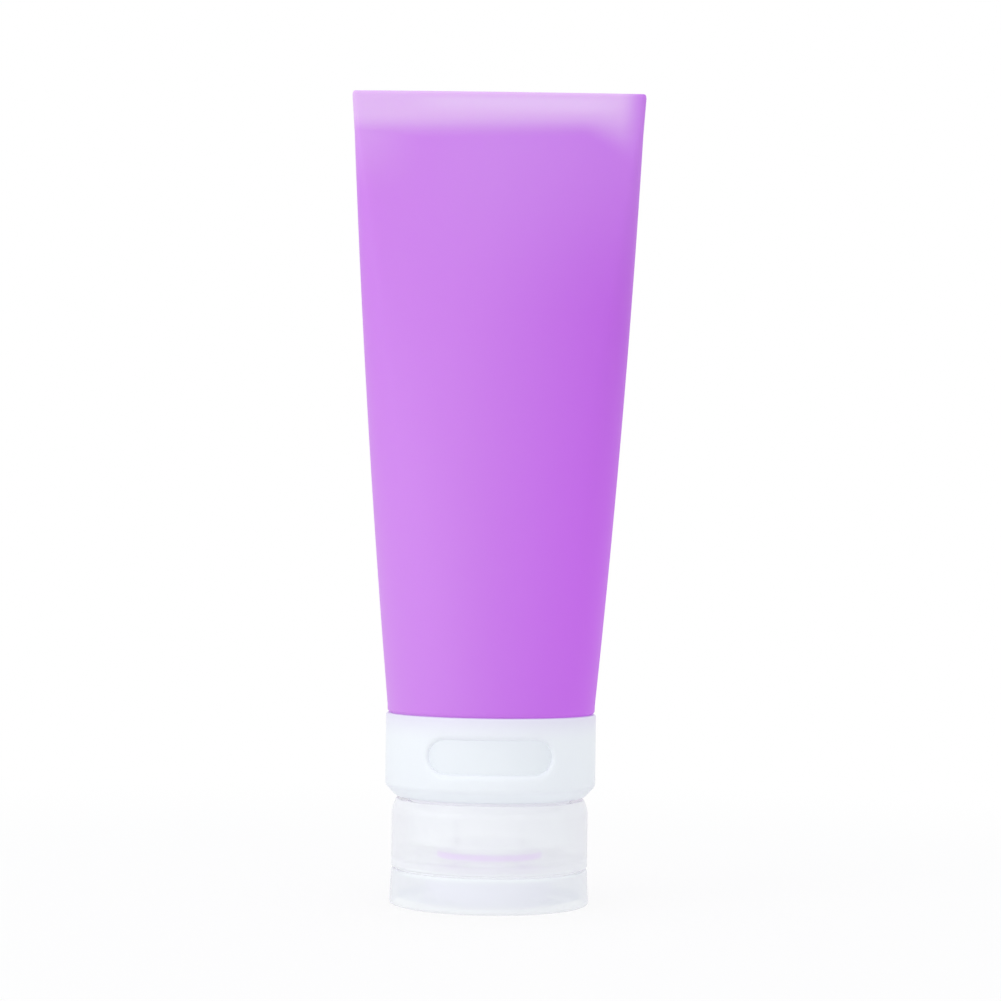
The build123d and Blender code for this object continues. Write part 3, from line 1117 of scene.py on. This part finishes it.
def cap_outline():
    """The screw cap's section: nozzle, deck, lip, skirt, barrel, spigot and valve seat."""
    skirt_inner = cap_radius - CAP_WALL
    lip_outer = cap_radius - LID_WALL - CLEARANCE
    lip_inner = lip_outer - LIP_WALL
    nozzle_outer = NOZZLE_BORE_RADIUS + NOZZLE_WALL
    barrel_inner = BARREL_RADIUS - BARREL_WALL
    spigot_inner = SPIGOT_RADIUS - SPIGOT_WALL
    seat_inner = valve_high.x + SEAT_CLEARANCE
    seat_outer = seat_inner + SEAT_WALL
    return [
        (NOZZLE_BORE_RADIUS, cap_low.z),
        (nozzle_outer, cap_low.z, NOZZLE_EDGE),
        (nozzle_outer, deck_face),
        (lip_inner, deck_face),
        (lip_inner, deck_face - LIP_HEIGHT),
        (lip_outer, deck_face - LIP_HEIGHT),
        (lip_outer, deck_face),
        (cap_radius, deck_face, CAP_EDGE),
        (cap_radius, cap_top - CAP_CHAMFER, CAP_SHOULDER_EDGE),
        (GROOVE_RADIUS, cap_top, CAP_EDGE),
        (skirt_inner, cap_top),
        (skirt_inner, deck_inner),
        (BARREL_RADIUS, deck_inner),
        (BARREL_RADIUS, step_top),
        (SPIGOT_RADIUS, step_top),
        (SPIGOT_RADIUS, cap_high.z - SPIGOT_LEAD),
        (SPIGOT_RADIUS - SPIGOT_LEAD, cap_high.z),
        (spigot_inner, cap_high.z),
        (spigot_inner, step_top - BARREL_WALL),
        (barrel_inner, step_top - BARREL_WALL),
        (barrel_inner, deck_inner),
        (seat_outer, deck_inner),
        (seat_outer, retainer_high.z),
        (seat_inner, retainer_high.z),
        (seat_inner, deck_inner),
        (NOZZLE_BORE_RADIUS, deck_inner),
    ]


def stiffening_ribs():
    """The ribs between the cap's skirt and barrel, as one mesh of separate blocks."""
    skirt_inner = cap_radius - CAP_WALL
    inner = BARREL_RADIUS - CAP_WALL / 2
    outer = skirt_inner + CAP_WALL / 2
    shaped = bmesh.new()
    for n in range(RIB_COUNT):
        turn = 2 * math.pi * (n + RIB_START_SHARE) / RIB_COUNT
        heading = Vector((math.cos(turn), math.sin(turn), 0))
        sideways = Vector((-heading.y, heading.x, 0)) * RIB_WALL / 2
        corners = []
        for height in (deck_face + DECK / 2, cap_top - RIB_DROP):
            for reach, side in ((inner, -1), (outer, -1), (outer, 1), (inner, 1)):
                place = heading * reach + sideways * side
                corners.append(shaped.verts.new((place.x, place.y, height)))
        shaped.faces.new(corners[3::-1])
        shaped.faces.new(corners[4:])
        for k in range(4):
            after = (k + 1) % 4
            shaped.faces.new((corners[k], corners[after], corners[after + 4], corners[k + 4]))
    return as_object("cutter", shaped)


def make_cap(finish):
    """The screw cap, with its ribs joined to it and its back cut flat for the hinge."""
    cap = turned("screw_cap", cap_outline(), finish)
    cut(cap, stiffening_ribs(), "UNION")
    hinge_end = hinge_high.z + CLEARANCE
    cut(cap, behind_flat(deck_face - CUT_OVERRUN, hinge_end))
    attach(cap, "cap")
    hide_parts("cap_base")


def make_lid(finish):
    """The lid: dished plate, skirt, seal ring and plug, cut flat for the hinge."""
    skirt_inner = cap_radius - LID_WALL
    plug_outer = NOZZLE_BORE_RADIUS - CLEARANCE
    plug_inner = plug_outer - PLUG_WALL
    seal_inner = SEAL_RADIUS - SEAL_WALL
    outline = [
        (0, DISH_DEPTH),
        (DISH_RADIUS, DISH_DEPTH),
        (DISH_RADIUS, 0),
        (cap_radius + LID_FLARE, 0, LID_EDGE),
        (cap_radius, lid_high.z, LID_RIM_EDGE),
        (skirt_inner, lid_high.z),
        (skirt_inner, LID_PLATE),
        (SEAL_RADIUS, LID_PLATE),
        (SEAL_RADIUS, lid_high.z),
        (seal_inner, lid_high.z),
        (seal_inner, LID_PLATE),
        (plug_outer, LID_PLATE),
        (plug_outer, lid_high.z - PLUG_LEAD),
        (plug_outer - PLUG_LEAD, lid_high.z),
        (plug_inner, lid_high.z),
        (plug_inner, LID_PLATE),
        (0, LID_PLATE),
    ]
    lid = turned("flip_cover", outline, finish)
    cut(lid, behind_flat(-CUT_OVERRUN, lid_high.z + CUT_OVERRUN))
    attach(lid, "lid")
    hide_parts("flip_lid")


def make_valve(finish):
    """The valve: a cup in the nozzle's bore with crossed slits in its floor, and a flange."""
    dome_radius = NOZZLE_BORE_RADIUS - CLEARANCE
    outline = [
        (0, valve_low.z),
        (dome_radius - VALVE_SKIN, valve_low.z, VALVE_DOME_EDGE),
        (dome_radius, valve_low.z + VALVE_SKIN, VALVE_EDGE),
        (dome_radius, deck_inner),
        (valve_high.x, deck_inner, VALVE_EDGE),
        (valve_high.x, valve_high.z, VALVE_EDGE),
        (dome_radius, valve_high.z, VALVE_EDGE),
        (dome_radius - VALVE_SKIN, valve_low.z + VALVE_SKIN, VALVE_DOME_EDGE),
        (0, valve_low.z + VALVE_SKIN),
    ]
    valve = turned("slit_valve", outline, finish)
    long_way, short_way = SLIT_LENGTH / 2, SLIT_WIDTH / 2
    slit_low, slit_high = valve_low.z - VALVE_SKIN, valve_low.z + 2 * VALVE_SKIN
    cut(valve, block((-long_way, -short_way, slit_low), (long_way, short_way, slit_high)))
    cut(valve, block((-short_way, -long_way, slit_low), (short_way, long_way, slit_high)))
    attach(valve, "cap")
    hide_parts("valve_disc")


def make_retainer(finish):
    """The ring that holds the valve's flange on the deck."""
    inner = retainer_high.x - RETAINER_WIDTH
    outline = band(inner, retainer_high.x, retainer_low.z, retainer_high.z)
    retainer = turned("valve_clamp_ring", outline, finish)
    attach(retainer, "cap")
    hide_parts("valve_retainer")


def make_hinge(finish):
    """The film hinge: a strip in fine rows, thinned where it bends."""
    shaped = bmesh.new()
    pad_face = hinge_high.y
    film_face = hinge_flat + HINGE_FILM
    half_width = hinge_high.x
    edge = FINE_EDGE
    rows = []
    for step in range(HINGE_ROWS + 1):
        height = hinge_low.z + (hinge_high.z - hinge_low.z) * step / HINGE_ROWS
        off_film = max(abs(height - hinge_height) - HINGE_FILM_HEIGHT / 2, 0)
        face = min(film_face + off_film, pad_face)
        section = [
            (-half_width, hinge_flat),
            (half_width, hinge_flat),
            (half_width, face - edge),
            (half_width - edge, face),
            (-half_width + edge, face),
            (-half_width, face - edge),
        ]
        rows.append([shaped.verts.new((x, y, height)) for x, y in section])
    for low, high in zip(rows, rows[1:]):
        for n in range(len(low)):
            after = (n + 1) % len(low)
            shaped.faces.new((low[n], low[after], high[after], high[n]))
    shaped.faces.new(rows[0][::-1])
    shaped.faces.new(rows[-1])
    hinge = as_object("film_hinge", shaped)
    settle(hinge)
    finished(hinge, finish)
    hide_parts("living_hinge")
    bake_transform(hinge)


# The bottle, from its tube down


oval_skin = oval_tree()
thread_ridge = thread_tree()
cap_finish = cap_plastic()
lid_finish = lid_plastic()

make_tube(lilac_silicone())
make_collar(collar_plastic())
make_contents_ring(
    even_plastic("ring_plastic", RING_TONE, COLLAR_ROUGHNESS, density=1.0, passed=0.0),
    even_plastic("numeral_plastic", NUMERAL_TONE, NUMERAL_ROUGHNESS, density=1.0),
)
make_insert(cap_finish)
make_gasket(plain_silicone("washer_silicone", WASHER_TONE, WASHER_DENSITY))
make_cap(cap_finish)
make_valve(plain_silicone("valve_silicone", VALVE_TONE, VALVE_DENSITY))
make_retainer(even_plastic("retainer_plastic", CAP_TONE, CAP_ROUGHNESS, RETAINER_DENSITY))
make_hinge(lid_finish)
make_lid(lid_finish)
make_thread("spigot_thread", "cap", SPIGOT_RADIUS, 1.0, thread_low, cap_finish)
make_thread("insert_thread", "bottle", insert_inner, -1.0, thread_low + PITCH / 2, cap_finish)


# Stage


def white_to_the_eye(graph):
    """1 for rays from the eye, from gloss and through clear parts, and 0 for the light itself."""
    path = graph.add("ShaderNodeLightPath")
    names = ("Is Camera Ray", "Is Glossy Ray", "Is Transmission Ray")
    camera, gloss, through = [Wire(graph, path.outputs[name]) for name in names]
    return graph.maths("MINIMUM", camera + gloss + through, 1)


def floor_paper():
    """White paper that keeps the object's shadow near it and fades to plain white further out."""
    material, graph, place = finish_graph("floor_paper")
    radius, _ = radius_of(graph, place)
    far = graph.between(radius, SHADOW_CORE, SHADOW_REACH)
    paper = graph.wire("ShaderNodeBsdfDiffuse", None, {"Color": FLOOR_TONE})
    glow = graph.wire("ShaderNodeEmission", None, {"Color": WHITE, "Strength": 1.0})
    share = white_to_the_eye(graph) * (FLOOR_GLOW + (1 - FLOOR_GLOW) * far)
    end_finish(graph, graph.wire("ShaderNodeMixShader", None, {0: share, 1: paper, 2: glow}))
    return material


def make_floor():
    """The floor, a wide square under the bottle, which isn't part of the object."""
    shaped = bmesh.new()
    corners = [(-1, -1), (1, -1), (1, 1), (-1, 1)]
    shaped.faces.new(
        [shaped.verts.new((x * FLOOR_REACH, y * FLOOR_REACH, 0)) for x, y in corners]
    )
    floor = as_object("floor", shaped)
    floor.data.materials.append(floor_paper())


def make_world():
    """A white surround: full strength to the eye, gloss and clear parts, softer as light."""
    world = bpy.data.worlds.new("surround")
    world.use_nodes = True
    world.node_tree.nodes.clear()
    graph = Graph(world.node_tree)
    to_the_eye = white_to_the_eye(graph)
    tone = graph.mix(to_the_eye, SKY_TONE, WHITE)
    strength = to_the_eye * (1 - WORLD_LIGHT) + WORLD_LIGHT
    light = graph.wire("ShaderNodeBackground", None, {"Color": tone, "Strength": strength})
    graph.add("ShaderNodeOutputWorld", None, {0: light})
    bpy.context.scene.world = world


def lamp(name, place, size, power):
    """A soft box that lights the bottle from one side."""
    data = bpy.data.lights.new(name, "AREA")
    data.shape = "RECTANGLE"
    data.size, data.size_y = size
    data.energy = power
    made = bpy.data.objects.new(name, data)
    made.location = place
    facing = Vector(LAMP_AIM) - Vector(place)
    made.rotation_euler = facing.to_track_quat("-Z", "Y").to_euler()
    bpy.context.scene.collection.objects.link(made)


def make_camera():
    """The photograph's view, a little above the cap and rolled by a hair."""
    data = bpy.data.cameras.new("camera")
    data.lens = LENS
    data.sensor_width = SENSOR
    camera = bpy.data.objects.new("camera", data)
    eye = Vector((VIEW_SIDE, -EYE_DISTANCE, EYE_HEIGHT))
    aim = Vector((VIEW_SIDE, 0, AIM_HEIGHT))
    facing = (aim - eye).to_track_quat("-Z", "Y").to_matrix().to_4x4()
    facing.translation = eye
    camera.matrix_world = facing @ Matrix.Rotation(ROLL, 4, "Z")
    bpy.context.scene.collection.objects.link(camera)
    bpy.context.scene.camera = camera


make_floor()
make_world()
lamp("key", KEY_PLACE, KEY_SIZE, KEY_POWER)
lamp("top", TOP_PLACE, TOP_SIZE, TOP_POWER)
make_camera()
bpy.context.scene.cycles.transparent_max_bounces = LAYERS_SEEN_THROUGH
bpy.context.scene.view_settings.view_transform = "Standard"
